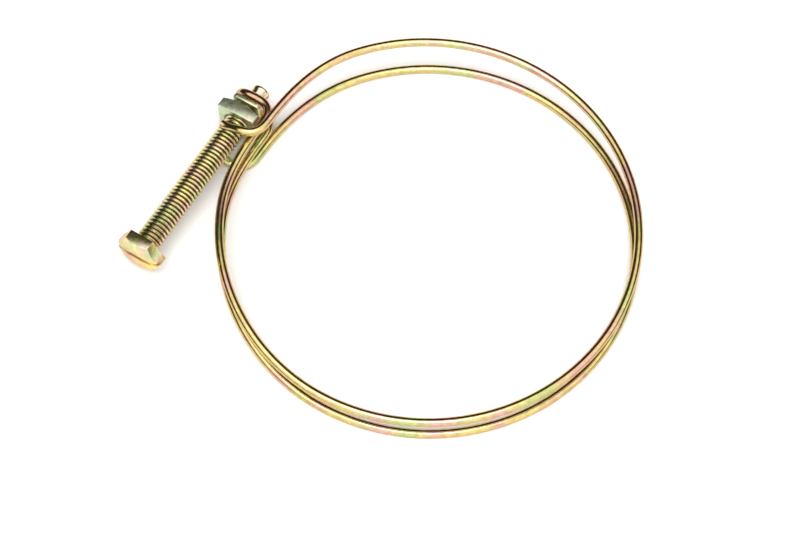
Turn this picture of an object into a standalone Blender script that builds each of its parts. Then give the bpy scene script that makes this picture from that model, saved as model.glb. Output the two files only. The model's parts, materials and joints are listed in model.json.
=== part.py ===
"""Screw-tightened double-wire hose clamp, lying flat with its ring axis along +Z.

One doubled wire forms the ring. Its closed loop goes round the screw's point, and its two free
ends hook over and under the screw, in front of a square nut. Turning the screw pushes the loop
away from the hooks, which closes the ring. The ring is cut opposite the nut, where a hinge
stands for the bending of the wire.

Places near the screw are given as (along, out, up): along the screw from the foot of the
perpendicular to the ring's axis, outward from the ring's axis, and up.
"""

import math

import bmesh
import bpy
from mathutils import Matrix, Vector

MM = 0.001

# Wire ring
WIRE_DIAMETER = 2.0 * MM
RING_RADIUS = 46.7 * MM            # ring axis to wire axis
RING_CENTRE_X = 10.75 * MM         # puts the middle of the whole clamp over the origin
FAR_GAP_ANGLE = math.radians(0.27)  # half of the cut opposite the nut, seen from the ring's axis
FAR_SPACING = 7.0 * MM             # upper wire axis to lower wire axis, opposite the nut
RING_STEP = math.radians(4.0)
BEND_STEPS = 8                     # in each quarter turn of the wire
LEG_STEPS = 5
TURN_STEPS = 12                    # in the half turn that closes the loop

# Screw axis
SCREW_ANGLE = math.radians(148.43)  # direction from the ring's axis out to the screw
SCREW_OFFSET = 52.0 * MM           # ring axis to screw axis
SCREW_HEIGHT = 7.0 * MM

# Hooked ends, in front of the nut
UPPER_HOOK_OFFSET = 44.1 * MM      # ring axis to the straight run before each hook
LOWER_HOOK_OFFSET = 45.4 * MM
HOOK_SPACING = 12.1 * MM
HOOK_BLEND = math.radians(38.0)
HOOK_BEND_RADIUS = 3.9 * MM
HOOK_HALF_HEIGHT = 4.4 * MM        # screw axis to the hook's axis where it crosses the screw
HOOK_END_OUT = 1.3 * MM
UPPER_HOOK_ALONG = -3.0 * MM
LOWER_HOOK_ALONG = -6.1 * MM
HOOK_RUN = 3.0 * MM                # straight run between the ring's curve and the hook's bend
HOOK_SETTLE = 1.3                  # how early along its leg a hook reaches its half height

# Closed loop, behind the nut
LOOP_OFFSET = 46.0 * MM
LOOP_HALF_HEIGHT = 3.15 * MM
LOOP_BLEND = math.radians(25.0)
LOOP_BEND_RADIUS = 3.5 * MM
LOOP_ALONG = 7.5 * MM
LOOP_OUT = 0.7 * MM                # where the loop starts to turn over
LOOP_REST = 1.5 * MM               # straight run just before that
LOOP_DIP = 0.8 * MM                # how much closer its wires are halfway round the ring
LIFT_START, LIFT_END = 0.50, 0.82  # shares of the half ring over which its lower wire lifts

# M6 screw
THREAD_DIAMETER = 6.0 * MM
POINT_DIAMETER = 4.0 * MM
PEEN_DIAMETER = 4.4 * MM
PEEN_LENGTH = 1.2 * MM
PEEN_FLARE = 0.3 * MM
PEEN_ROUND = 0.5 * MM
PEEN_END_SHARE = 0.7
HEAD_ALONG = -36.5 * MM            # under the head
SHOULDER_ALONG = 4.4 * MM
TIP_ALONG = 11.5 * MM
HEAD_FLATS = 10.0 * MM
HEAD_HEIGHT = 3.3 * MM
HEAD_DOME = 0.8 * MM               # how far the hexagon's corners are turned back
DOME_FLAT, DOME_TURN = 0.55, 0.80  # shares of the corner radius: flat middle, then the first slope
DOME_TURN_RISE = 0.35 * MM
DOME_CLEARANCE = 0.3 * MM
SLOT_WIDTH = 1.6 * MM
SLOT_DEPTH = 1.6 * MM
SHANK_OVERLAP = 0.5 * MM           # how far the shank runs into the head before the two are joined
SHOULDER_CHAMFER = 0.5 * MM
CUT_PAST = 1.0 * MM                # how far a cutter reaches past the face that it cuts

# Square nut
NUT_WIDTH = 9.7 * MM
NUT_THICKNESS = 3.2 * MM
NUT_ALONG = 0.65 * MM              # its face towards the screw's head
NUT_BORE = 6.6 * MM

# Thrust plate
PLATE_WIDTH = 7.6 * MM
PLATE_HEIGHT = 8.8 * MM
PLATE_THICKNESS = 1.2 * MM
PLATE_ALONG = 4.7 * MM
PLATE_BORE = 4.6 * MM
PLATE_BEVEL = 0.9 * MM
NUT_BEVEL = 0.3 * MM

OUT = Vector((math.cos(SCREW_ANGLE), math.sin(SCREW_ANGLE), 0.0))
ALONG = Vector((math.sin(SCREW_ANGLE), -math.cos(SCREW_ANGLE), 0.0))
UP = Vector((0.0, 0.0, 1.0))
RING_CENTRE = Vector((RING_CENTRE_X, 0.0, 0.0))


def clear_scene():
    """Start from nothing, whatever the open file holds."""
    for item in list(bpy.data.objects):
        bpy.data.objects.remove(item, do_unlink=True)


def make_collection(name):
    """Return a new collection linked to the scene."""
    collection = bpy.data.collections.new(name)
    bpy.context.scene.collection.children.link(collection)
    return collection


def make_material(name, color, roughness, metallic=1.0):
    """Return a Principled material of one plated finish."""
    material = bpy.data.materials.new(name)
    material.use_nodes = True
    shader = material.node_tree.nodes["Principled BSDF"]
    shader.inputs["Base Color"].default_value = (*color, 1.0)
    shader.inputs["Roughness"].default_value = roughness
    shader.inputs["Metallic"].default_value = metallic
    return material


def screw_point(along, out, up):
    """World place of a point given beside the screw, with out and up counted from its axis."""
    place = RING_CENTRE + ALONG * along + OUT * (SCREW_OFFSET + out)
    return place + UP * (SCREW_HEIGHT + up)


def screw_matrix(along=0.0):
    """Place that turns local +Z along the screw, with local +X outward and +Y up."""
    turn = Matrix((OUT, UP, ALONG)).transposed().to_4x4()
    return Matrix.Translation(screw_point(along, 0.0, 0.0)) @ turn


def smooth(value):
    """Ease from 0 to 1 with level ends."""
    value = min(max(value, 0.0), 1.0)
    return value * value * (3.0 - 2.0 * value)


def ring_point(angle, side, radius, height):
    """Point of the ring at an angle from the screw's foot, to its +along or -along side."""
    place = RING_CENTRE + ALONG * (side * radius * math.sin(angle)) + OUT * radius * math.cos(angle)
    return place + UP * height


def ring_angles(last):
    """Angles from beside the cut opposite the nut down to the last one, near the nut."""
    first = math.pi - FAR_GAP_ANGLE
    count = max(2, math.ceil((first - last) / RING_STEP))
    return [first + (last - first) * index / count for index in range(count + 1)]


def quarter_bend(radius, leg_along, run_out, way, up):
    """Bend from a run along the screw, in its +along or -along way, to a leg that points outward."""
    points = []
    for step in range(BEND_STEPS + 1):
        turn = math.pi / 2 * step / BEND_STEPS
        along = leg_along - way * radius * (1.0 - math.sin(turn))
        out = run_out + radius * (1.0 - math.cos(turn))
        points.append(screw_point(along, out, up))
    return points


def hook_ring_points(upper, offset, last):
    """Ring half that ends in the hooks: its two wires spread most near the cut, then run level."""
    points = []
    for angle in ring_angles(last):
        share = (math.pi - angle) / math.pi
        spacing = FAR_SPACING + (HOOK_SPACING - FAR_SPACING) * math.sin(share * math.pi / 2)
        inset = (RING_RADIUS - offset) * smooth(1.0 - angle / HOOK_BLEND)
        height = WIRE_DIAMETER / 2 + (spacing if upper else 0.0)
        points.append(ring_point(angle, 1.0, RING_RADIUS - inset, height))
    return points


def hook_points(upper):
    """Whole run of one hooked wire, from the cut opposite the nut to its free end."""
    side = 1.0 if upper else -1.0
    offset = UPPER_HOOK_OFFSET if upper else LOWER_HOOK_OFFSET
    leg_along = UPPER_HOOK_ALONG if upper else LOWER_HOOK_ALONG
    run_out = offset - SCREW_OFFSET
    run_up = WIRE_DIAMETER / 2 - SCREW_HEIGHT + (HOOK_SPACING if upper else 0.0)
    run_end = math.atan2(leg_along + HOOK_BEND_RADIUS + HOOK_RUN, offset)
    points = hook_ring_points(upper, offset, run_end)
    points += quarter_bend(HOOK_BEND_RADIUS, leg_along, run_out, -1.0, run_up)
    leg_start = run_out + HOOK_BEND_RADIUS
    for step in range(1, LEG_STEPS + 1):
        share = step / LEG_STEPS
        out = leg_start + (HOOK_END_OUT - leg_start) * share
        up = run_up + (side * HOOK_HALF_HEIGHT - run_up) * smooth(share * HOOK_SETTLE)
        points.append(screw_point(leg_along, out, up))
    return points


def loop_ring_points(upper):
    """Ring half that ends in the loop: its wires draw together and its lower one lifts."""
    lift = SCREW_HEIGHT - LOOP_HALF_HEIGHT - WIRE_DIAMETER / 2
    points = []
    for angle in ring_angles(0.0):
        share = (math.pi - angle) / math.pi
        dip = LOOP_DIP * math.sin(math.pi * share)
        spacing = FAR_SPACING + (2 * LOOP_HALF_HEIGHT - FAR_SPACING) * share - dip
        height = WIRE_DIAMETER / 2 + lift * smooth((share - LIFT_START) / (LIFT_END - LIFT_START))
        inset = (RING_RADIUS - LOOP_OFFSET) * smooth(1.0 - angle / LOOP_BLEND)
        points.append(ring_point(angle, -1.0, RING_RADIUS - inset, height + (spacing if upper else 0.0)))
    return points


def loop_side_points(upper):
    """One side of the loop: along the nut, round the bend and out over or under the point."""
    up = LOOP_HALF_HEIGHT if upper else -LOOP_HALF_HEIGHT
    points = loop_ring_points(upper)
    points += quarter_bend(LOOP_BEND_RADIUS, LOOP_ALONG, LOOP_OFFSET - SCREW_OFFSET, 1.0, up)
    points.append(screw_point(LOOP_ALONG, LOOP_OUT - LOOP_REST, up))
    return points


def loop_points():
    """The whole looped wire: up one side, over the turn and back down the other."""
    turn_points = []
    for step in range(TURN_STEPS + 1):
        turn = math.pi * step / TURN_STEPS
        out = LOOP_OUT + LOOP_HALF_HEIGHT * math.sin(turn)
        turn_points.append(screw_point(LOOP_ALONG, out, LOOP_HALF_HEIGHT * math.cos(turn)))
    return loop_side_points(True) + turn_points + loop_side_points(False)[::-1]


def add_wire(name, points, collection, material):
    """Make a round wire along the points."""
    curve = bpy.data.curves.new(name, "CURVE")
    curve.dimensions = "3D"
    curve.bevel_depth = WIRE_DIAMETER / 2
    curve.bevel_resolution = 2
    curve.use_fill_caps = True
    spline = curve.splines.new("POLY")
    spline.points.add(len(points) - 1)
    for target, point in zip(spline.points, points):
        target.co = (*point, 1.0)
    curve.materials.append(material)
    wire = bpy.data.objects.new(name, curve)
    collection.objects.link(wire)
    return wire


def add_mesh(name, form, place, collection, material=None):
    """Make an object from a bmesh, set at a place."""
    mesh = bpy.data.meshes.new(name)
    form.to_mesh(mesh)
    form.free()
    if material:
        mesh.materials.append(material)
    item = bpy.data.objects.new(name, mesh)
    item.matrix_world = place
    collection.objects.link(item)
    return item


def box(width, height, depth):
    """Box of a width along X and a height along Y, standing from 0 to its depth on Z."""
    form = bmesh.new()
    bmesh.ops.create_cube(form, size=1.0)
    bmesh.ops.scale(form, vec=(width, height, depth), verts=form.verts)
    bmesh.ops.translate(form, vec=(0.0, 0.0, depth / 2), verts=form.verts)
    return form


def bevel_standing_edges(form, width, segments):
    """Round the edges that run along local Z."""
    edges = [edge for edge in form.edges if abs((edge.verts[0].co - edge.verts[1].co).normalized().z) > 0.9]
    bmesh.ops.bevel(form, geom=edges, offset=width, segments=segments, profile=0.5, affect="EDGES")


def cylinder(radius, depth, segments=32):
    """Closed cylinder standing from 0 to its depth on Z."""
    form = bmesh.new()
    bmesh.ops.create_cone(form, cap_ends=True, segments=segments, radius1=radius, radius2=radius, depth=depth)
    bmesh.ops.translate(form, vec=(0.0, 0.0, depth / 2), verts=form.verts)
    return form


def add_cut(item, cutter, operation="DIFFERENCE"):
    """Cut an object with a hidden one, or join the two."""
    cutter.hide_render = True
    cutter.display_type = "WIRE"
    modifier = item.modifiers.new(operation.title(), "BOOLEAN")
    modifier.operation = operation
    modifier.solver = "EXACT"
    modifier.object = cutter


def turned(outline, steps):
    """Closed solid turned round local Z from (radius, height) points."""
    form = bmesh.new()
    verts = [form.verts.new((radius, 0.0, height)) for radius, height in outline]
    edges = [form.edges.new(pair) for pair in zip(verts, verts[1:])]
    bmesh.ops.spin(form, geom=verts + edges, axis=(0, 0, 1), cent=(0, 0, 0), steps=steps,
                   angle=math.tau, use_merge=True)
    bmesh.ops.remove_doubles(form, verts=form.verts, dist=1e-7)
    bmesh.ops.recalc_face_normals(form, faces=form.faces)
    return form


def hex_head():
    """Hexagonal head: flats facing up and down, its bearing face at 0 and its end below."""
    corner = HEAD_FLATS / math.sqrt(3.0)
    form = bmesh.new()
    bmesh.ops.create_cone(form, cap_ends=True, segments=6, radius1=corner, radius2=corner, depth=HEAD_HEIGHT)
    lift = Matrix.Translation((0.0, 0.0, -HEAD_HEIGHT / 2)) @ Matrix.Rotation(math.pi / 6, 4, "Z")
    bmesh.ops.transform(form, matrix=lift, verts=form.verts)
    return form


def head_dome():
    """Turned envelope that chamfers the hexagon's corners and domes its end."""
    corner = HEAD_FLATS / math.sqrt(3.0)
    end, past = -HEAD_HEIGHT, DOME_CLEARANCE
    return turned([(0.0, end), (DOME_FLAT * corner, end), (DOME_TURN * corner, end + DOME_TURN_RISE),
                   (corner, end + DOME_TURN_RISE + HEAD_DOME), (corner + past, past), (0.0, past)], 48)


def screw_shank():
    """Turned shank: plain M6 outside diameter, a shoulder, the reduced point and its peened end."""
    shank, point, peen = THREAD_DIAMETER / 2, POINT_DIAMETER / 2, PEEN_DIAMETER / 2
    start = HEAD_ALONG - SHANK_OVERLAP
    return turned([(0.0, start), (shank, start), (shank, SHOULDER_ALONG - SHOULDER_CHAMFER),
                   (shank - SHOULDER_CHAMFER, SHOULDER_ALONG), (point, SHOULDER_ALONG),
                   (point, TIP_ALONG - PEEN_LENGTH), (peen, TIP_ALONG - PEEN_LENGTH + PEEN_FLARE),
                   (peen, TIP_ALONG - PEEN_ROUND), (PEEN_END_SHARE * peen, TIP_ALONG), (0.0, TIP_ALONG)], 32)


def build_screw(parts, cutters, material):
    """Slotted hexagon-head screw, one piece from head to point."""
    screw = add_mesh("hex_screw", hex_head(), screw_matrix(HEAD_ALONG), parts, material)
    dome = add_mesh("head_dome_cutter", head_dome(), screw_matrix(HEAD_ALONG), cutters)
    slot = box(HEAD_FLATS * 1.5, SLOT_WIDTH, SLOT_DEPTH + CUT_PAST)
    slot_place = screw_matrix(HEAD_ALONG - HEAD_HEIGHT - CUT_PAST)
    slot_cutter = add_mesh("screw_slot_cutter", slot, slot_place, cutters)
    shank = add_mesh("screw_shank_join", screw_shank(), screw_matrix(), cutters)
    add_cut(screw, dome, "INTERSECT")
    add_cut(screw, slot_cutter)
    add_cut(screw, shank, "UNION")


def build_nut(parts, cutters, material):
    """Square nut with its faces square to the screw."""
    form = box(NUT_WIDTH, NUT_WIDTH, NUT_THICKNESS)
    bevel_standing_edges(form, NUT_BEVEL, 1)
    nut = add_mesh("square_nut", form, screw_matrix(NUT_ALONG), parts, material)
    bore = cylinder(NUT_BORE / 2, NUT_THICKNESS + 2 * CUT_PAST)
    add_cut(nut, add_mesh("nut_bore_cutter", bore, screw_matrix(NUT_ALONG - CUT_PAST), cutters))


def build_plate(parts, cutters, material):
    """Thrust plate between the screw's shoulder and the loop."""
    form = box(PLATE_WIDTH, PLATE_HEIGHT, PLATE_THICKNESS)
    bevel_standing_edges(form, PLATE_BEVEL, 3)
    plate = add_mesh("thrust_plate", form, screw_matrix(PLATE_ALONG), parts, material)
    bore = cylinder(PLATE_BORE / 2, PLATE_THICKNESS + 2 * CUT_PAST)
    add_cut(plate, add_mesh("plate_bore_cutter", bore, screw_matrix(PLATE_ALONG - CUT_PAST), cutters))


def build_wires(parts, material):
    """The doubled wire, cut opposite the nut into two hooked runs and one looped run."""
    add_wire("upper_hook_wire", hook_points(True), parts, material)
    add_wire("lower_hook_wire", hook_points(False), parts, material)
    add_wire("loop_wire", loop_points(), parts, material)


def main():
    clear_scene()
    parts = make_collection("hose_clamp")
    cutters = make_collection("cutters")
    build_wires(parts, make_material("plated_wire", (0.72, 0.58, 0.27), 0.30))
    build_nut(parts, cutters, make_material("plated_nut", (0.66, 0.66, 0.42), 0.34))
    build_plate(parts, cutters, make_material("plated_plate", (0.66, 0.60, 0.38), 0.36))
    build_screw(parts, cutters, make_material("plated_screw", (0.74, 0.66, 0.36), 0.30))


main()
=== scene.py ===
# Wire hose clamp: a doubled wire ring, an M6 slotted screw, a square nut and a thrust plate.
import json
import math

import bmesh
import bpy
from mathutils import Matrix, Vector


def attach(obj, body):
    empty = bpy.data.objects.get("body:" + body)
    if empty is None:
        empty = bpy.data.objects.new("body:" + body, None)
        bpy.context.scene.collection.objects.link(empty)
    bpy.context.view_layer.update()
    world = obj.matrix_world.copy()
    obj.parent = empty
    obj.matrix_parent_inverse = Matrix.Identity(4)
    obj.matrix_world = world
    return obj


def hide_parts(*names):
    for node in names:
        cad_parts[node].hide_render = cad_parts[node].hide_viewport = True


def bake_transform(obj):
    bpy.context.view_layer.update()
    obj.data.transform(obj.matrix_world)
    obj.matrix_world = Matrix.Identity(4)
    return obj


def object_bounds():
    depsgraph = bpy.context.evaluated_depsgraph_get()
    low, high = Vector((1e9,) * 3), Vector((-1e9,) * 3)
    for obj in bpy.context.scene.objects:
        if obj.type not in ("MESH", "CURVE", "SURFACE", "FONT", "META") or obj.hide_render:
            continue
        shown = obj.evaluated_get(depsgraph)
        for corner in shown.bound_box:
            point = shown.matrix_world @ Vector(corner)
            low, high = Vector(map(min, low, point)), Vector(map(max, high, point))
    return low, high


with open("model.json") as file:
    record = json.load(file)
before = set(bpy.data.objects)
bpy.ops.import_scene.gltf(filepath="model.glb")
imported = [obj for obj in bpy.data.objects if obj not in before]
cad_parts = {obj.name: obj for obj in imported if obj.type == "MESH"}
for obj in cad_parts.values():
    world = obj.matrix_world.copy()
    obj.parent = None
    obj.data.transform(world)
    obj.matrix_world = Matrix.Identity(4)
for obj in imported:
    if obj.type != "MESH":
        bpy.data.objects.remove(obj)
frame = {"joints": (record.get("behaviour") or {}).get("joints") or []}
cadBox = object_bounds()
mm = 0.001
weld = 1e-7  # points closer than this are merged
past = 0.2 * mm  # cutting shapes run this far past the faces they cut

# The frame's own axes and places, which everything below is measured from
joints = {joint["name"]: joint for joint in frame["joints"]}
hinge = Vector(joints["ring_close"]["pos_m"])
screwPlace = Vector(joints["screw_turn"]["pos_m"])
alongWay = Vector(joints["screw_turn"]["axis"]).normalized()
upWay = Vector((0.0, 0.0, 1.0))
outWay = upWay.cross(alongWay)

ring = {
    "wire": 2.0 * mm,
    "radius": 46.7 * mm,  # ring axis to wire axis
    "spacing": 7.0 * mm,  # between the two wires opposite the nut
    "step": math.radians(1.5),
    "sides": 24,
    "stretch": 0.6 * mm,  # even spacing of the path's points
    "easing": 5,  # rounds of smoothing along the path
    "cutChamfer": 0.25 * mm,
}
ringCentre = hinge + outWay * ring["radius"]
ringCentre.z = 0.0
screwOffset = (screwPlace - ringCentre).dot(outWay)
screwHeight = screwPlace.z
nutPoint = hinge + outWay * 2 * ring["radius"]


def beside(along, out, up):
    # along the screw from the foot of the ring's radius, out from the screw's axis, and up
    place = ringCentre + alongWay * along + outWay * (screwOffset + out)
    return place + upWay * (screwHeight + up)


def screwFrame(along=0.0):
    # local Z runs along the screw, X outward and Y up
    turn = Matrix((outWay, upWay, alongWay)).transposed().to_4x4()
    return Matrix.Translation(beside(along, 0.0, 0.0)) @ turn


def smooth(value):
    value = min(max(value, 0.0), 1.0)
    return value * value * (3.0 - 2.0 * value)


def meshOf(name, form):
    # turn a bmesh into a piece, in the place its points already have
    mesh = bpy.data.meshes.new(name)
    form.to_mesh(mesh)
    form.free()
    piece = bpy.data.objects.new(name, mesh)
    bpy.context.scene.collection.objects.link(piece)
    return piece


def finished(piece, sharpAngle=32.0):
    # bake the modifiers into the mesh, then shade it
    bpy.context.view_layer.update()
    baked = piece.evaluated_get(bpy.context.evaluated_depsgraph_get())
    mesh = bpy.data.meshes.new_from_object(baked)
    piece.modifiers.clear()
    piece.data = mesh
    mesh.shade_smooth()
    mesh.set_sharp_from_angle(angle=math.radians(sharpAngle))
    return piece


def combined(piece, other, operation):
    # cut, join or keep the overlap of two closed shapes; the second one is used up
    cut = piece.modifiers.new(operation.title(), "BOOLEAN")
    cut.operation = operation
    cut.solver = "EXACT"
    cut.object = other
    finished(piece)
    bpy.data.objects.remove(other, do_unlink=True)
    return piece


def turned(outline, steps=64):
    # a closed shape spun round local Z from (radius, height) points
    form = bmesh.new()
    verts = [form.verts.new((radius, 0.0, height)) for radius, height in outline]
    edges = [form.edges.new(pair) for pair in zip(verts, verts[1:])]
    bmesh.ops.spin(form, geom=verts + edges, axis=(0, 0, 1), cent=(0, 0, 0), steps=steps,
                   angle=math.tau, use_merge=True)
    bmesh.ops.remove_doubles(form, verts=form.verts, dist=weld)
    bmesh.ops.recalc_face_normals(form, faces=form.faces)
    return form


def block(width, height, depth, corner=0.0, segments=1):
    # box standing on z = 0, with its upright edges bevelled
    form = bmesh.new()
    bmesh.ops.create_cube(form, size=1.0)
    bmesh.ops.scale(form, vec=(width, height, depth), verts=form.verts)
    bmesh.ops.translate(form, vec=(0.0, 0.0, depth / 2), verts=form.verts)
    if corner:
        upright = [edge for edge in form.edges
                   if abs((edge.verts[0].co - edge.verts[1].co).normalized().z) > 0.9]
        bmesh.ops.bevel(form, geom=upright, offset=corner, segments=segments, profile=0.5,
                        affect="EDGES", material=-1)
    return form


def roundEdges(piece, width, angle):
    # soften the edges that are sharper than an angle in degrees
    soften = piece.modifiers.new("Soften", "BEVEL")
    soften.width = width
    soften.segments = 3
    soften.limit_method = "ANGLE"
    soften.angle_limit = math.radians(angle)
    return piece


def ringPoint(angle, side, radius, height):
    # a point of the ring, by its angle from the nut on one side or the other
    across = alongWay * (side * radius * math.sin(angle))
    return ringCentre + across + outWay * radius * math.cos(angle) + upWay * height


def ringAngles(last):
    # even angles from the hinge to the last one
    count = math.ceil((math.pi - last) / ring["step"])
    return [math.pi + (last - math.pi) * index / count for index in range(count + 1)]


def quarterBend(bend, legAlong, runOut, way, up, steps=16):
    # from a run along the screw to a leg that points outward
    points = []
    for index in range(steps + 1):
        turn = math.pi / 2 * index / steps
        along = legAlong - way * bend * (1 - math.sin(turn))
        points.append(beside(along, runOut + bend * (1 - math.cos(turn)), up))
    return points


hooks = {
    "upperOffset": 44.1 * mm,  # ring axis to the straight run before each hook
    "lowerOffset": 45.4 * mm,
    "spacing": 12.1 * mm,  # between the two hooks' runs
    "blend": math.radians(38.0),  # where the ring starts to draw in
    "run": 3.0 * mm,  # straight run between the ring's curve and the bend
    "bend": 3.9 * mm,
    "upperAlong": -3.0 * mm,  # where each leg crosses the screw
    "lowerAlong": -6.1 * mm,
    "halfHeight": 4.4 * mm,  # from the screw's axis to a leg's end
    "settle": 1.3,  # above 1, a leg reaches its full height before its end
    "endOut": 1.3 * mm,  # where a leg ends, out from the screw's axis
    "legSteps": 12,
}


def hookPath(upper):
    # from the hinge round the ring, out, and over or under the screw
    side = 1.0 if upper else -1.0
    offset = hooks["upperOffset"] if upper else hooks["lowerOffset"]
    legAlong = hooks["upperAlong"] if upper else hooks["lowerAlong"]
    runOut = offset - screwOffset
    runUp = ring["wire"] / 2 - screwHeight + (hooks["spacing"] if upper else 0.0)
    points = []
    for angle in ringAngles(math.atan2(legAlong + hooks["bend"] + hooks["run"], offset)):
        share = (math.pi - angle) / math.pi
        spread = (hooks["spacing"] - ring["spacing"]) * math.sin(share * math.pi / 2)
        spacing = ring["spacing"] + spread
        inset = (ring["radius"] - offset) * smooth(1.0 - angle / hooks["blend"])
        height = ring["wire"] / 2 + (spacing if upper else 0.0)
        points.append(ringPoint(angle, 1.0, ring["radius"] - inset, height))
    points += quarterBend(hooks["bend"], legAlong, runOut, -1.0, runUp)
    legStart = runOut + hooks["bend"]
    for index in range(1, hooks["legSteps"] + 1):
        share = index / hooks["legSteps"]
        out = legStart + (hooks["endOut"] - legStart) * share
        up = runUp + (side * hooks["halfHeight"] - runUp) * smooth(share * hooks["settle"])
        points.append(beside(legAlong, out, up))
    return points


loop = {
    "offset": 46.0 * mm,  # ring axis to the straight run before the bend
    "halfHeight": 3.15 * mm,
    "blend": math.radians(25.0),
    "bend": 3.5 * mm,
    "along": 7.5 * mm,  # where the closed bend crosses the screw's point
    "out": 0.7 * mm,  # where it starts to turn over
    "turnSteps": 24,
    "dip": 0.8 * mm,  # the wires draw together between the hinge and the bend
    "liftStart": 0.50,  # shares of the half turn over which they rise off the floor
    "liftEnd": 0.82,
}


def loopSide(upper):
    # from the hinge round the ring and out to the screw's point
    lift = screwHeight - loop["halfHeight"] - ring["wire"] / 2
    points = []
    for angle in ringAngles(0.0):
        share = (math.pi - angle) / math.pi
        spacing = ring["spacing"] + (2 * loop["halfHeight"] - ring["spacing"]) * share
        spacing -= loop["dip"] * math.sin(math.pi * share)
        raised = smooth((share - loop["liftStart"]) / (loop["liftEnd"] - loop["liftStart"]))
        inset = (ring["radius"] - loop["offset"]) * smooth(1.0 - angle / loop["blend"])
        height = ring["wire"] / 2 + lift * raised + (spacing if upper else 0.0)
        points.append(ringPoint(angle, -1.0, ring["radius"] - inset, height))
    up = loop["halfHeight"] if upper else -loop["halfHeight"]
    points += quarterBend(loop["bend"], loop["along"], loop["offset"] - screwOffset, 1.0, up)
    return points


def loopPath():
    # one side, the turn over, and the other side back
    over = []
    for index in range(loop["turnSteps"] + 1):
        turn = math.pi * index / loop["turnSteps"]
        out = loop["out"] + loop["halfHeight"] * math.sin(turn)
        over.append(beside(loop["along"], out, loop["halfHeight"] * math.cos(turn)))
    return loopSide(True) + over + loopSide(False)[::-1]


def easedPath(points):
    # evenly spaced points, with each corner eased as bent wire eases it; the two ends stay
    lengths = [0.0]
    for before, after in zip(points, points[1:]):
        lengths.append(lengths[-1] + (after - before).length)
    count = round(lengths[-1] / ring["stretch"])
    even, at = [], 0
    for index in range(count + 1):
        wanted = lengths[-1] * index / count
        while at < len(lengths) - 2 and lengths[at + 1] < wanted:
            at += 1
        span = lengths[at + 1] - lengths[at]
        share = (wanted - lengths[at]) / span if span else 0.0
        even.append(points[at].lerp(points[at + 1], share))
    for _ in range(ring["easing"]):
        even[2:-2] = [(before + here * 2 + after) / 4 for before, here, after
                      in zip(even[1:-3], even[2:-2], even[3:-1])]
    return even


def wirePiece(name, points, cutEnds):
    # a round wire along a path; each cut end gets a small chamfer
    curve = bpy.data.curves.new(name, "CURVE")
    curve.dimensions = "3D"
    curve.bevel_depth = ring["wire"] / 2
    curve.bevel_resolution = ring["sides"] // 2 - 2
    curve.use_fill_caps = True
    spline = curve.splines.new("POLY")
    spline.points.add(len(points) - 1)
    for target, point in zip(spline.points, points):
        target.co = (*point, 1.0)
    drawn = bpy.data.objects.new(name + "_path", curve)
    bpy.context.scene.collection.objects.link(drawn)
    bpy.context.view_layer.update()
    swept = drawn.evaluated_get(bpy.context.evaluated_depsgraph_get())
    mesh = bpy.data.meshes.new_from_object(swept)
    bpy.data.objects.remove(drawn, do_unlink=True)
    form = bmesh.new()
    form.from_mesh(mesh)
    bmesh.ops.remove_doubles(form, verts=form.verts, dist=weld)
    caps = [face for face in form.faces if len(face.verts) > 4]
    for cap in caps:
        if min((cap.calc_center_median() - end).length for end in cutEnds) < 0.1 * mm:
            bmesh.ops.bevel(form, geom=list(cap.edges), offset=ring["cutChamfer"], segments=2,
                            profile=0.5, affect="EDGES", material=-1)
    bmesh.ops.recalc_face_normals(form, faces=form.faces)
    piece = meshOf(name, form)
    return finished(piece, 50.0)


screw = {
    "major": 2.95 * mm,  # radius at the thread's crests
    "minor": 2.40 * mm,  # radius at its roots
    "pitch": 1.0 * mm,
    "rounding": 0.13,  # share of the thread's depth that its crests and roots are rolled over
    "threadSteps": 36,
    "leadIn": 0.1 * mm,  # how far below its roots the thread is cut back at the shoulder
    "underHead": -36.5 * mm,  # places along the screw, from the foot of the ring's radius
    "shoulder": 4.4 * mm,
    "tip": 11.5 * mm,
    "flats": 10.0 * mm,
    "headHeight": 3.3 * mm,
    "headEdge": 0.14 * mm,
    "headEdgeAngle": 28.0,
    "slotWidth": 1.6 * mm,
    "slotDepth": 1.6 * mm,
    # how much painted shade the slot floor gets
    "slotGrime": 0.62,
    "point": 2.0 * mm,  # radius of the plain point
    "overlap": 0.3 * mm,  # how far the turned shapes run into each other
    # share of the head's corner radius, and mm in from its end
    "domeOutline": ((0.0, 0.02), (0.40, 0.03), (0.62, 0.08), (0.76, 0.22), (0.86, 0.50), (1.02, 1.15)),
    # radius and height above the head's underside, mm
    "neckOutline": ((3.28, 0.02), (3.05, 0.14), (2.93, 0.42), (2.55, 1.50), (0.0, 1.50)),
    # radius and distance back from the tip, mm: the point is peened over
    "peenOutline": ((2.0, 1.35), (2.08, 1.15), (2.17, 0.85), (2.2, 0.62), (2.12, 0.36), (1.78, 0.12),
                    (1.25, 0.02), (0.5, 0.10), (0.0, 0.13)),
}


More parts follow.
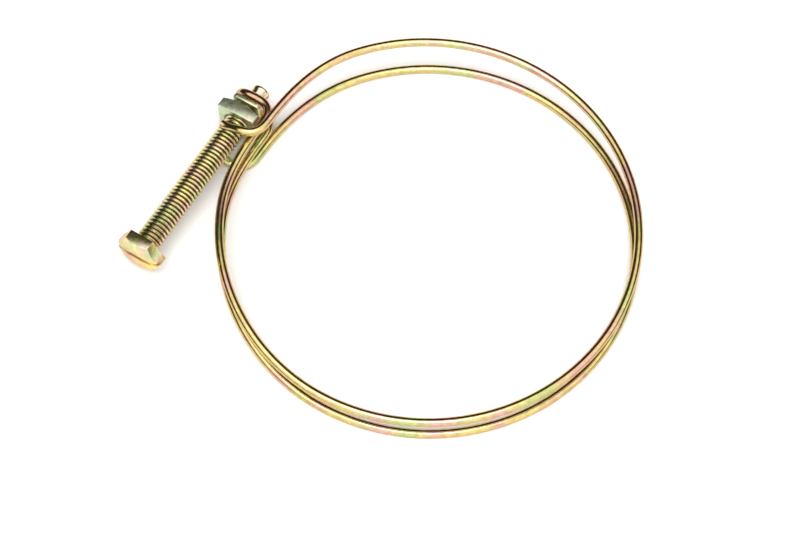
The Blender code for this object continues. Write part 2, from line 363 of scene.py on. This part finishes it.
def threadForm(minor, major, start, end, leadIn=False):
    # a right-handed thread: a row of rolled teeth spun one turn while it moves one pitch on
    pitch, soft = screw["pitch"], screw["rounding"] * (major - minor)
    # radius and share of the pitch
    tooth = [(minor, 0.03), (minor, 0.14), (minor + soft, 0.21), (major - soft, 0.46),
             (major, 0.53), (major, 0.64), (major - soft, 0.71), (minor + soft, 0.96)]
    firstTurn = math.floor(start / pitch) - 2
    turns = math.ceil(end / pitch) + 2 - firstTurn
    form = bmesh.new()
    outline = [(radius, (firstTurn + turn + share) * pitch)
               for turn in range(turns) for radius, share in tooth]
    verts = [form.verts.new((radius, 0.0, height)) for radius, height in outline]
    edges = [form.edges.new(pair) for pair in zip(verts, verts[1:])]
    steps = screw["threadSteps"]
    bmesh.ops.spin(form, geom=verts + edges, axis=(0, 0, 1), cent=(0, 0, 0), steps=steps,
                   angle=math.tau, dvec=(0, 0, pitch / steps), use_merge=False)
    bmesh.ops.remove_doubles(form, verts=form.verts, dist=10 * weld)
    for height, way in ((start, -1.0), (end, 1.0)):
        bmesh.ops.bisect_plane(form, geom=form.verts[:] + form.edges[:] + form.faces[:], dist=weld,
                               plane_co=(0, 0, height), plane_no=(0, 0, way), clear_outer=True)
        rim = [edge for edge in form.edges if edge.is_boundary and
               all(abs(vert.co.z - height) < 10 * weld for vert in edge.verts)]
        bmesh.ops.holes_fill(form, edges=rim, sides=0)
    for vert in form.verts:
        limit = minor - screw["leadIn"] + max(end - vert.co.z, 0.0) if leadIn else major
        radius = math.hypot(vert.co.x, vert.co.y)
        if radius > limit:
            vert.co.x *= limit / radius
            vert.co.y *= limit / radius
    bmesh.ops.recalc_face_normals(form, faces=form.faces)
    return form


def headPiece():
    # a hexagon with its underside at z = 0, domed at its end and slotted
    corner, height, overlap = screw["flats"] / math.sqrt(3.0), screw["headHeight"], screw["overlap"]
    form = bmesh.new()
    bmesh.ops.create_cone(form, cap_ends=True, segments=6, radius1=corner, radius2=corner,
                          depth=height)
    lift = Matrix.Translation((0.0, 0.0, -height / 2)) @ Matrix.Rotation(math.pi / 6, 4, "Z")
    bmesh.ops.transform(form, matrix=lift, verts=form.verts)
    head = meshOf("hex_screw_threaded", form)
    dome = [(share * corner, inset * mm - height) for share, inset in screw["domeOutline"]]
    dome += [(1.06 * corner, overlap), (0.0, overlap)]
    combined(head, meshOf("dome", turned(dome)), "INTERSECT")
    proud = 1.0 * mm  # the slot's cutter stands this far out of the dome
    slot = block(screw["flats"] * 1.5, screw["slotWidth"], screw["slotDepth"] + proud)
    bmesh.ops.translate(slot, vec=(0.0, 0.0, -height - proud), verts=slot.verts)
    combined(head, meshOf("slot", slot), "DIFFERENCE")
    return finished(roundEdges(head, screw["headEdge"], screw["headEdgeAngle"]))


def makeScrew():
    piece, under, overlap = headPiece(), screw["underHead"], screw["overlap"]
    widest = screw["major"] + 0.35 * mm  # where the neck meets the head
    neck = [(0.0, -overlap), (widest, -overlap)]
    neck += [(radius * mm, height * mm) for radius, height in screw["neckOutline"]]
    combined(piece, meshOf("neck", turned(neck)), "UNION")
    thread = threadForm(screw["minor"], screw["major"], under + overlap, screw["shoulder"], leadIn=True)
    bmesh.ops.translate(thread, vec=(0.0, 0.0, -under), verts=thread.verts)
    combined(piece, meshOf("thread", thread), "UNION")
    insideThread, tip = screw["shoulder"] - under - 1.0 * mm, screw["tip"] - under
    pin = [(0.0, insideThread), (screw["point"], insideThread)]
    pin += [(radius * mm, tip - back * mm) for radius, back in screw["peenOutline"]]
    combined(piece, meshOf("pin", turned(pin, 48)), "UNION")
    piece.data.transform(screwFrame(under))
    return piece


nut = {
    "width": 9.7 * mm,
    "thickness": 3.2 * mm,
    "along": 0.65 * mm,
    "corner": 0.45 * mm,
    "crownShare": 0.97,  # of the half width that stays flat on the far face
    "crownDrop": 1.25 * mm,  # how far the corners fall away from it
    "edge": 0.16 * mm,
    "edgeAngle": 22.0,
    "countersink": 3.45 * mm,  # radius where it meets the face
    "slack": 0.08 * mm,  # thread clearance
}


def makeNut():
    # a square nut, crowned on its far face, then bored, countersunk and tapped
    half, thick = nut["width"] / 2, nut["thickness"]
    form = block(nut["width"], nut["width"], thick, nut["corner"], 3)
    piece = meshOf("square_nut_threaded", form)
    below, above, beyondCorners = -0.05 * mm, thick + 0.02 * mm, half * 1.5
    crown = [(0.0, below), (beyondCorners, below), (beyondCorners, thick - nut["crownDrop"]),
             (half * nut["crownShare"], above), (half * 0.5, above), (0.0, above)]
    combined(piece, meshOf("crown", turned(crown)), "INTERSECT")
    finished(roundEdges(piece, nut["edge"], nut["edgeAngle"]))
    sink, minor = nut["countersink"], screw["minor"]
    bore = [(0.0, -past), (sink + past, -past), (minor, sink - minor), (minor, thick - sink + minor),
            (sink + past, thick + past), (0.0, thick + past)]
    combined(piece, meshOf("bore", turned(bore)), "DIFFERENCE")
    proud = 0.5 * mm  # the tap runs this far out of both faces
    start, end = nut["along"] - proud, nut["along"] + thick + proud
    form = threadForm(minor + nut["slack"], screw["major"] + nut["slack"], start, end)
    bmesh.ops.translate(form, vec=(0.0, 0.0, -nut["along"]), verts=form.verts)
    combined(piece, meshOf("tap", form), "DIFFERENCE")
    piece.data.transform(screwFrame(nut["along"]))
    return piece


plate = {
    "width": 6.9 * mm,
    "height": 8.8 * mm,
    "thickness": 1.2 * mm,
    "along": 4.7 * mm,
    "corner": 0.9 * mm,
    "bore": 2.3 * mm,  # radius
    "edge": 0.25 * mm,
    "edgeAngle": 40.0,
}


def makePlate():
    # a stamped plate with a hole for the screw's point
    form = block(plate["width"], plate["height"], plate["thickness"], plate["corner"], 5)
    piece = meshOf("thrust_plate_stamped", form)
    above = plate["thickness"] + past
    bore = [(0.0, -past), (plate["bore"], -past), (plate["bore"], above), (0.0, above)]
    combined(piece, meshOf("bore", turned(bore, 48)), "DIFFERENCE")
    finished(roundEdges(piece, plate["edge"], plate["edgeAngle"]))
    piece.data.transform(screwFrame(plate["along"]))
    return piece


# small helpers for the node trees
def socket(tree, name, way, kind, value=None):
    made = tree.interface.new_socket(name=name, in_out=way, socket_type="NodeSocket" + kind)
    if value is not None:
        made.default_value = value
    return made


def node(tree, kind, **settings):
    made = tree.nodes.new("ShaderNode" + kind)
    for key, value in settings.items():
        setattr(made, key, value)
    return made


def put(tree, target, source):
    # a socket takes either a link or a plain value
    if isinstance(source, bpy.types.NodeSocket):
        tree.links.new(source, target)
    else:
        target.default_value = source


def noise(tree, vector, scale, detail=2.0, roughness=0.5):
    made = node(tree, "TexNoise")
    settings = (("Vector", vector), ("Scale", scale), ("Detail", detail), ("Roughness", roughness))
    for name, value in settings:
        put(tree, made.inputs[name], value)
    return made.outputs["Fac"]


def band(tree, value, low, high):
    # 0 below the low value, 1 above the high one, smooth between them
    made = node(tree, "MapRange", interpolation_type="SMOOTHSTEP")
    put(tree, made.inputs["Value"], value)
    put(tree, made.inputs["From Min"], low)
    put(tree, made.inputs["From Max"], high)
    return made.outputs["Result"]


def mixed(tree, share, one, other, blend="MIX"):
    # a Mix node keeps its colours on sockets 6 and 7, and gives one out on 2
    made = node(tree, "Mix", data_type="RGBA", blend_type=blend)
    put(tree, made.inputs["Factor"], share)
    put(tree, made.inputs[6], one)
    put(tree, made.inputs[7], other)
    return made.outputs[2]


def sums(tree, operation, one, other):
    made = node(tree, "Math", operation=operation)
    for target, value in zip(made.inputs, (one, other)):
        put(tree, target, value)
    return made.outputs["Value"]


def shifted(tree, vector, move, scale=(1.0, 1.0, 1.0)):
    # a pattern's place and stretch
    made = node(tree, "Mapping")
    put(tree, made.inputs["Vector"], vector)
    made.inputs["Location"].default_value = move
    made.inputs["Scale"].default_value = scale
    return made.outputs["Vector"]


def chromateGroup():
    # yellow chromate film: slow drifts between gold, green and pink, and small cloudy patches
    tree = bpy.data.node_groups.new("chromateFilm", "ShaderNodeTree")
    for name, kind, value in (
        ("Vector", "Vector", None), ("Drift", "Float", 60.0), ("Clouds", "Float", 700.0),
        ("Gold", "Color", (0.8, 0.6, 0.2, 1.0)), ("Green", "Color", (0.6, 0.7, 0.3, 1.0)),
        ("Pink", "Color", (0.8, 0.5, 0.4, 1.0)), ("Green Share", "Float", 0.5),
        ("Pink Share", "Float", 0.5),
    ):
        socket(tree, name, "INPUT", kind, value)
    socket(tree, "Color", "OUTPUT", "Color")
    inlet = tree.nodes.new("NodeGroupInput").outputs
    outlet = tree.nodes.new("NodeGroupOutput").inputs
    greenDrift = noise(tree, inlet["Vector"], inlet["Drift"], 2.0, 0.5)
    pinkPlace = shifted(tree, inlet["Vector"], (0.31, 0.17, 0.23))
    pinkDrift = noise(tree, pinkPlace, sums(tree, "MULTIPLY", inlet["Drift"], 1.3), 2.0, 0.5)
    color = inlet["Gold"]
    for drift, share, tint in ((greenDrift, "Green Share", "Green"), (pinkDrift, "Pink Share", "Pink")):
        low = sums(tree, "SUBTRACT", 0.80, inlet[share])  # a larger share starts lower in the noise
        patches = band(tree, drift, low, sums(tree, "ADD", low, 0.22))
        color = mixed(tree, patches, color, inlet[tint])
    clouds = band(tree, noise(tree, inlet["Vector"], inlet["Clouds"], 4.0, 0.65), 0.25, 0.75)
    shade = mixed(tree, clouds, (0.80, 0.79, 0.76, 1.0), (1.12, 1.12, 1.10, 1.0))
    put(tree, outlet["Color"], mixed(tree, 1.0, color, shade, "MULTIPLY"))
    return tree


def grainGroup():
    # fine grain and drawn lines for the bump, with a roughness that follows them
    tree = bpy.data.node_groups.new("metalGrain", "ShaderNodeTree")
    for name, kind, value in (
        ("Vector", "Vector", None), ("Grain", "Float", 4000.0), ("Lines Vector", "Vector", None),
        ("Lines", "Float", 1.0), ("Line Share", "Float", 0.5), ("Smooth", "Float", 0.2),
        ("Rough", "Float", 0.4),
    ):
        socket(tree, name, "INPUT", kind, value)
    socket(tree, "Roughness", "OUTPUT", "Float")
    socket(tree, "Height", "OUTPUT", "Float")
    inlet = tree.nodes.new("NodeGroupInput").outputs
    outlet = tree.nodes.new("NodeGroupOutput").inputs
    grain = noise(tree, inlet["Vector"], inlet["Grain"], 3.0, 0.6)
    lines = noise(tree, inlet["Lines Vector"], inlet["Lines"], 3.0, 0.7)
    height = node(tree, "Mix", data_type="FLOAT")
    for target, value in ((0, inlet["Line Share"]), (2, grain), (3, lines)):
        put(tree, height.inputs[target], value)
    put(tree, outlet["Height"], height.outputs[0])
    spread = node(tree, "MapRange", interpolation_type="SMOOTHSTEP")
    for name, value in (("Value", height.outputs[0]), ("From Min", 0.3), ("From Max", 0.7),
                        ("To Min", inlet["Smooth"]), ("To Max", inlet["Rough"])):
        put(tree, spread.inputs[name], value)
    put(tree, outlet["Roughness"], spread.outputs["Result"])
    return tree


def paintedShadeGroup():
    # painted shade in grooves and pits: it darkens the film there and dulls it
    tree = bpy.data.node_groups.new("grooveGrime", "ShaderNodeTree")
    for name, kind, value in (
        ("Color", "Color", None), ("Grime", "Color", (0.10, 0.08, 0.03, 1.0)), ("Depth", "Float", 0.0),
        ("Roughness", "Float", 0.3), ("Dullness", "Float", 0.3),
    ):
        socket(tree, name, "INPUT", kind, value)
    socket(tree, "Color", "OUTPUT", "Color")
    socket(tree, "Roughness", "OUTPUT", "Float")
    inlet = tree.nodes.new("NodeGroupInput").outputs
    outlet = tree.nodes.new("NodeGroupOutput").inputs
    put(tree, outlet["Color"], mixed(tree, inlet["Depth"], inlet["Color"], inlet["Grime"]))
    dull = sums(tree, "MULTIPLY", inlet["Depth"], inlet["Dullness"])
    put(tree, outlet["Roughness"], sums(tree, "ADD", inlet["Roughness"], dull))
    return tree


groups = {"film": chromateGroup(), "grain": grainGroup(), "grooveShade": paintedShadeGroup()}

# drift is how fine the colour patches are, place is where their pattern starts, and edge is the tint
# at grazing angles
finishes = {
    "wire": {
        "gold": (0.62, 0.49, 0.20, 1.0), "green": (0.46, 0.50, 0.20, 1.0),
        "pink": (0.62, 0.38, 0.28, 1.0), "place": (0.0, 0.0, 0.0),
        "drift": 75.0, "greenShare": 0.36, "pinkShare": 0.36,
        "smooth": 0.10, "rough": 0.22, "bump": 0.08, "edge": (1.0, 0.62, 0.50, 1.0),
    },
    "screw": {
        "gold": (0.76, 0.70, 0.36, 1.0), "green": (0.58, 0.64, 0.36, 1.0),
        "pink": (0.78, 0.54, 0.46, 1.0), "place": (0.008, -0.018, 0.017),
        "drift": 170.0, "greenShare": 0.40, "pinkShare": 0.34,
        "smooth": 0.12, "rough": 0.28, "bump": 0.10, "edge": (1.0, 0.68, 0.55, 1.0),
    },
    "nut": {
        "gold": (0.66, 0.66, 0.46, 1.0), "green": (0.56, 0.68, 0.50, 1.0),
        "pink": (0.68, 0.55, 0.46, 1.0), "place": (0.0, 0.0, 0.0),
        "drift": 150.0, "greenShare": 0.46, "pinkShare": 0.22,
        "smooth": 0.24, "rough": 0.42, "bump": 0.16, "edge": (1.0, 0.86, 0.74, 1.0),
    },
    "plate": {
        "gold": (0.72, 0.66, 0.40, 1.0), "green": (0.56, 0.64, 0.44, 1.0),
        "pink": (0.72, 0.52, 0.44, 1.0), "place": (0.0, 0.0, 0.0),
        "drift": 160.0, "greenShare": 0.36, "pinkShare": 0.26,
        "smooth": 0.24, "rough": 0.42, "bump": 0.16, "edge": (1.0, 0.84, 0.72, 1.0),
    },
}
alongLines = {"from": "UV", "scale": (4.0, 20.0, 1.0), "fineness": 3.0, "share": 0.6}  # drawn wire
millLines = {"from": "Object", "scale": (1.0, 1.0, 4.0), "fineness": 900.0, "share": 0.4}
# painted shade in the thread roots: its colour, and how far into the groove it reaches
rootGrime = {"attribute": "grooveDepth", "range": (0.25, 0.95), "color": (0.10, 0.075, 0.025, 1.0),
             "dullness": 0.25}


def placed(tree, group, **values):
    # a shared group put into one material, with that material's own values
    made = node(tree, "Group", node_tree=groups[group])
    for name, value in values.items():
        put(tree, made.inputs[name.replace("_", " ")], value)
    return made.outputs


def platedMetal(name, look, linesFrom, depthFrom=None):
    # zinc plate under a coloured chromate film; where asked, painted shade darkens the grooves
    material = bpy.data.materials.new(name)
    material.use_nodes = True
    tree = material.node_tree
    shader = tree.nodes["Principled BSDF"]
    where = node(tree, "TexCoord")
    pattern = shifted(tree, where.outputs["Object"], look["place"])
    film = placed(tree, "film", Vector=pattern, Drift=look["drift"], Gold=look["gold"],
                  Green=look["green"], Pink=look["pink"], Green_Share=look["greenShare"],
                  Pink_Share=look["pinkShare"])
    lines = shifted(tree, where.outputs[linesFrom["from"]], (0.0, 0.0, 0.0), linesFrom["scale"])
    grain = placed(tree, "grain", Vector=where.outputs["Object"], Lines_Vector=lines,
                   Lines=linesFrom["fineness"], Line_Share=linesFrom["share"], Smooth=look["smooth"],
                   Rough=look["rough"])
    color, roughness = film["Color"], grain["Roughness"]
    # painted shade: the film turns darker and duller where the groove mask is high
    if depthFrom:
        depth = node(tree, "Attribute", attribute_name=depthFrom["attribute"]).outputs["Fac"]
        grooveShade = placed(tree, "grooveShade", Color=color, Depth=band(tree, depth, *depthFrom["range"]),
                       Grime=depthFrom["color"], Roughness=roughness, Dullness=depthFrom["dullness"])
        color, roughness = grooveShade["Color"], grooveShade["Roughness"]
    put(tree, shader.inputs["Base Color"], color)
    put(tree, shader.inputs["Roughness"], roughness)
    shader.inputs["Metallic"].default_value = 1.0
    shader.inputs["Specular Tint"].default_value = look["edge"]
    bump = node(tree, "Bump")
    bump.inputs["Strength"].default_value = look["bump"]
    bump.inputs["Distance"].default_value = 0.05 * mm
    put(tree, bump.inputs["Height"], grain["Height"])
    put(tree, shader.inputs["Normal"], bump.outputs["Normal"])
    return material


def grooveDepth(piece):
    # how deep each point lies: 0 at the thread's crests, 1 at its roots, and part way in the slot; this
    # is the mask for the painted shade
    depth = piece.data.attributes.new("grooveDepth", "FLOAT", "POINT")
    back = screwFrame().inverted()
    slotFloor = screw["underHead"] - screw["headHeight"] + screw["slotDepth"]
    for vert, value in zip(piece.data.vertices, depth.data):
        local = back @ vert.co
        inside = (screw["major"] - math.hypot(local.x, local.y)) / (screw["major"] - screw["minor"])
        onThread = screw["underHead"] + 0.4 * mm < local.z < screw["shoulder"]
        inSlot = abs(local.y) < 0.51 * screw["slotWidth"] and abs(local.z - slotFloor) < 0.3 * mm
        if inSlot:
            value.value = screw["slotGrime"]
        elif onThread:
            value.value = min(max(inside, 0.0), 1.0)


# The three wires, each swept along its eased path; each row also lists a place on the nut's side and
# one as far past the hinge, which the loop doesn't use
beyond = 2 * hinge - nutPoint
wireFinish = platedMetal("yellow_chromate_wire", finishes["wire"], alongLines)
for name, cadNode, path, hasCutEnd, start, end in (
    ("hook_wire_upper", "upper_hook_wire", hookPath(True), True, nutPoint, beyond),
    ("hook_wire_lower", "lower_hook_wire", hookPath(False), True, nutPoint, beyond),
    ("loop_wire_bent", "loop_wire", loopPath(), False, beyond, nutPoint),
):
    eased = easedPath(path)
    piece = wirePiece(name, eased, [eased[-1]] if hasCutEnd else [])
    piece.data.materials.append(wireFinish)
    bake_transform(piece)
    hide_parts(cadNode)
    print("wire", name, len(piece.data.polygons), "faces")

screwPiece = makeScrew()
grooveDepth(screwPiece)
print("screw", len(screwPiece.data.polygons), "faces")
nutPiece = makeNut()
print("nut", len(nutPiece.data.polygons), "faces")
platePiece = makePlate()
print("plate", len(platePiece.data.polygons), "faces")
for piece, body, cadNode, finish, material in (
    (screwPiece, "screw", "hex_screw", "plated_screw",
     platedMetal("yellow_chromate_screw", finishes["screw"], millLines, rootGrime)),
    (nutPiece, "nut", "square_nut", "plated_nut",
     platedMetal("yellow_chromate_nut", finishes["nut"], millLines)),
    (platePiece, "pusher", "thrust_plate", "plated_plate",
     platedMetal("yellow_chromate_plate", finishes["plate"], millLines)),
):
    piece.data.materials.clear()
    piece.data.materials.append(material)
    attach(piece, body)
    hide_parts(cadNode)
print("finishes", len(bpy.data.materials), "materials")

studio = {
    "floor": 6.0,  # metres across
    "floorDrop": 0.05 * mm,
    "floorColor": (0.94, 0.94, 0.94, 1.0),
    "tentWay": (0.10, -0.60, 0.79),  # the lit side of the tent, above and in front
    "tentEdge": (0.38, 0.56),  # where it fades from dark to lit
    "bright": (1.60, 1.60, 1.58, 1.0),
    "dark": (0.050, 0.040, 0.020, 1.0),
    "keyPlace": (-0.10, -0.25, 1.0),
    "keySize": (0.7, 0.5),
    "keyPower": 5.0,
}
floorForm = bmesh.new()
bmesh.ops.create_grid(floorForm, x_segments=1, y_segments=1, size=studio["floor"] / 2)
floorHeight = cadBox[0][2] - studio["floorDrop"]
bmesh.ops.translate(floorForm, vec=(0.0, 0.0, floorHeight), verts=floorForm.verts)
floor = meshOf("floor", floorForm)
floorMaterial = bpy.data.materials.new("white_sweep")
floorMaterial.use_nodes = True
floorShader = floorMaterial.node_tree.nodes["Principled BSDF"]
floorShader.inputs["Base Color"].default_value = studio["floorColor"]
floorShader.inputs["Roughness"].default_value = 0.9
floorShader.inputs["Specular IOR Level"].default_value = 0.1
floor.data.materials.append(floorMaterial)

softbox = bpy.data.lights.new("overhead_softbox", "AREA")
softbox.shape = "RECTANGLE"
softbox.size, softbox.size_y = studio["keySize"]
softbox.energy = studio["keyPower"]
keyLight = bpy.data.objects.new("overhead_softbox", softbox)
keyLight.location = studio["keyPlace"]
keyLight.rotation_euler = (-keyLight.location).to_track_quat("-Z", "Y").to_euler()
bpy.context.scene.collection.objects.link(keyLight)

world = bpy.data.worlds.new("light_tent")
bpy.context.scene.world = world
world.use_nodes = True
tent = world.node_tree
background = tent.nodes["Background"]
towards = node(tent, "VectorMath", operation="DOT_PRODUCT")
put(tent, towards.inputs[0], node(tent, "TexCoord").outputs["Generated"])
towards.inputs[1].default_value = studio["tentWay"]
lit = band(tent, towards.outputs["Value"], *studio["tentEdge"])
put(tent, background.inputs["Color"], mixed(tent, lit, studio["dark"], studio["bright"]))

view = {
    "target": Vector((4.293, -5.313, 0.0)) * mm,
    "tilt": math.radians(27.54),  # from straight down
    "distance": 500.0 * mm,
    "lens": 99.83,
    "sensor": 36.0,
}
cameraData = bpy.data.cameras.new("studio_camera")
cameraData.lens = view["lens"]
cameraData.sensor_width = view["sensor"]
cameraData.clip_start = 0.01
camera = bpy.data.objects.new("studio_camera", cameraData)
direction = Vector((0.0, -math.sin(view["tilt"]), math.cos(view["tilt"])))
camera.location = view["target"] + direction * view["distance"]
camera.rotation_euler = (-direction).to_track_quat("-Z", "Y").to_euler()
bpy.context.scene.collection.objects.link(camera)
bpy.context.scene.camera = camera
bpy.context.scene.view_settings.view_transform = "Standard"
print("studio", len(bpy.data.lights), "light, camera", round(view["lens"]), "mm")
